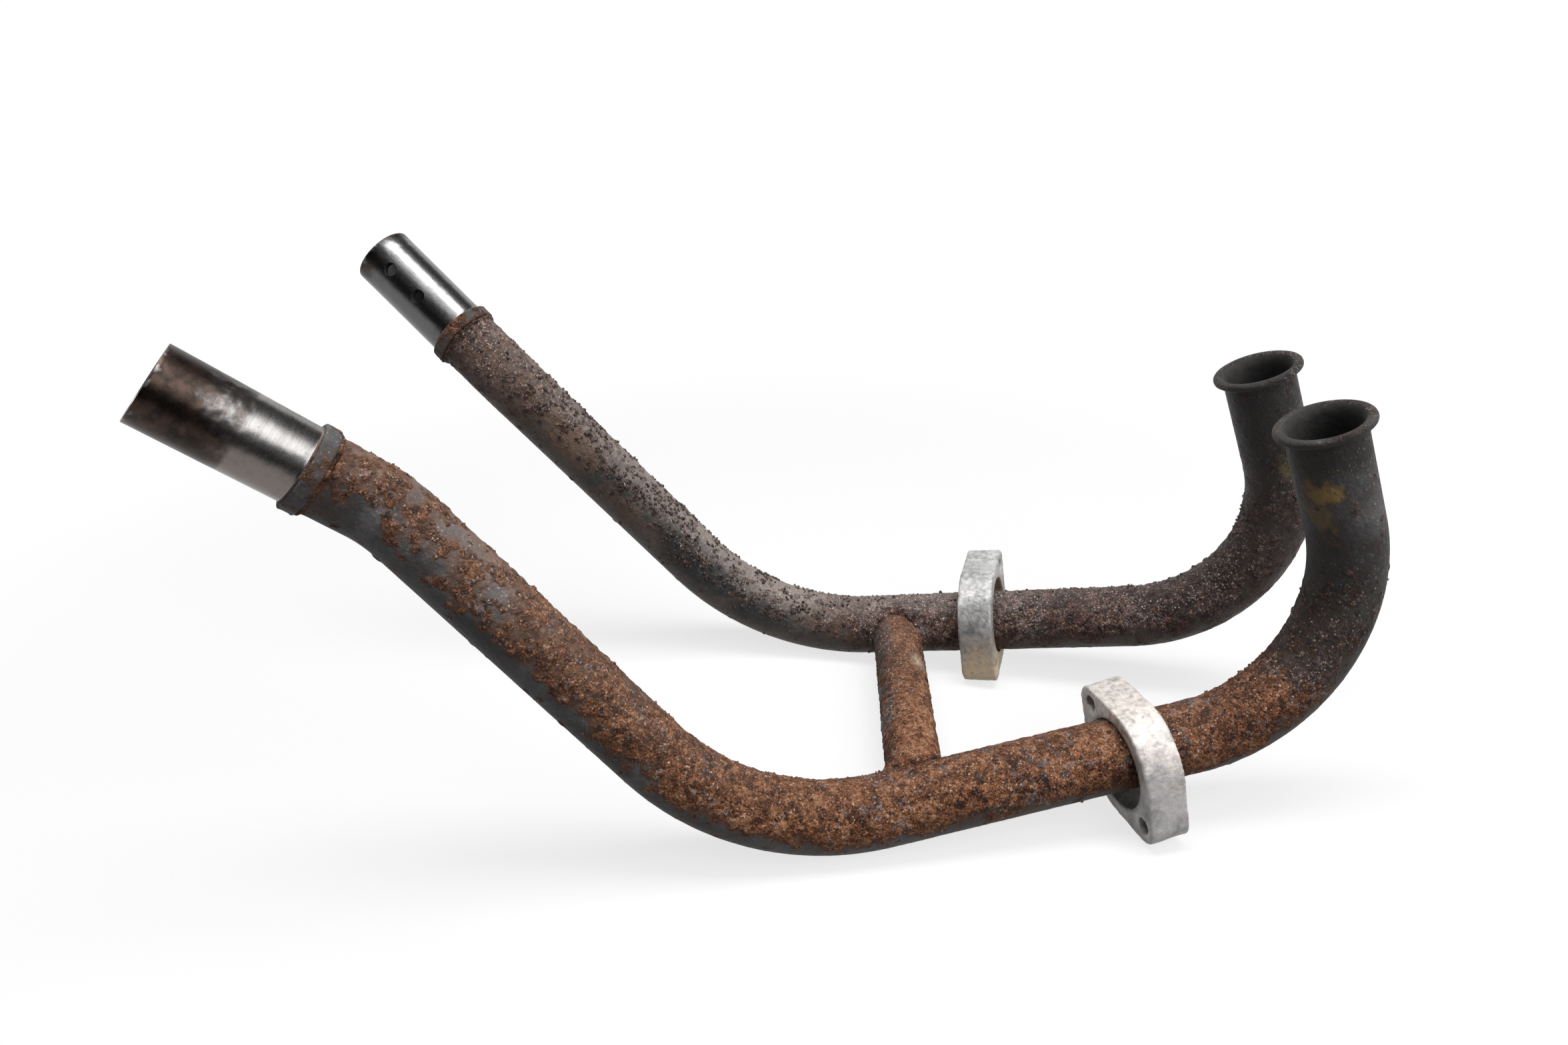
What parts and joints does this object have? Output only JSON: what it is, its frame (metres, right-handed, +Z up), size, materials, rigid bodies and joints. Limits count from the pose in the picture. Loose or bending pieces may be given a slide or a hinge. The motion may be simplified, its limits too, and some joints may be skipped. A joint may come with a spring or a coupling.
{
  "type": "motorcycle exhaust header",
  "caption": "Mirrored pair of bent steel header pipes with turned-out port lips, a crossover tube, muffler stubs with collars and loose two-bolt flanges.",
  "frame": {"origin": "on the ground under the middle of the part's box, with the part lying on its bellies and flanges", "axes": "+X forward, from the muffler stubs to the ports; +Y to the rider's left; +Z up"},
  "size_m": [0.5858, 0.3102, 0.2851],
  "materials": {
    "pipe_steel": "worn paint over heavy rust",
    "crossover_steel": "rusted",
    "collar_steel": "worn dark paint with rusted edges",
    "weld_steel": "rusted",
    "flange_alloy": "weathered casting"
  },
  "bodies": {
    "header": {"crossover_tube": "crossover_steel", "right_header_pipe": "pipe_steel", "left_header_pipe": "pipe_steel", "right_muffler_collar": "collar_steel", "left_muffler_collar": "collar_steel", "right_collar_weld": "weld_steel", "left_collar_weld": "weld_steel", "right_crossover_weld": "weld_steel", "left_crossover_weld": "weld_steel"},
    "right_flange": {"right_port_flange": "flange_alloy"},
    "left_flange": {"left_port_flange": "flange_alloy"}
  },
  "joints": [
    {"name": "right_flange_slide", "type": "slide", "parent": "header", "child": "right_flange", "axis": [0.9718, 0.1899, 0.14], "range_m": [-0.08, 0.02]},
    {"name": "left_flange_slide", "type": "slide", "parent": "header", "child": "left_flange", "axis": [0.9718, -0.1899, 0.14], "range_m": [-0.02, 0.08]}
  ]
}
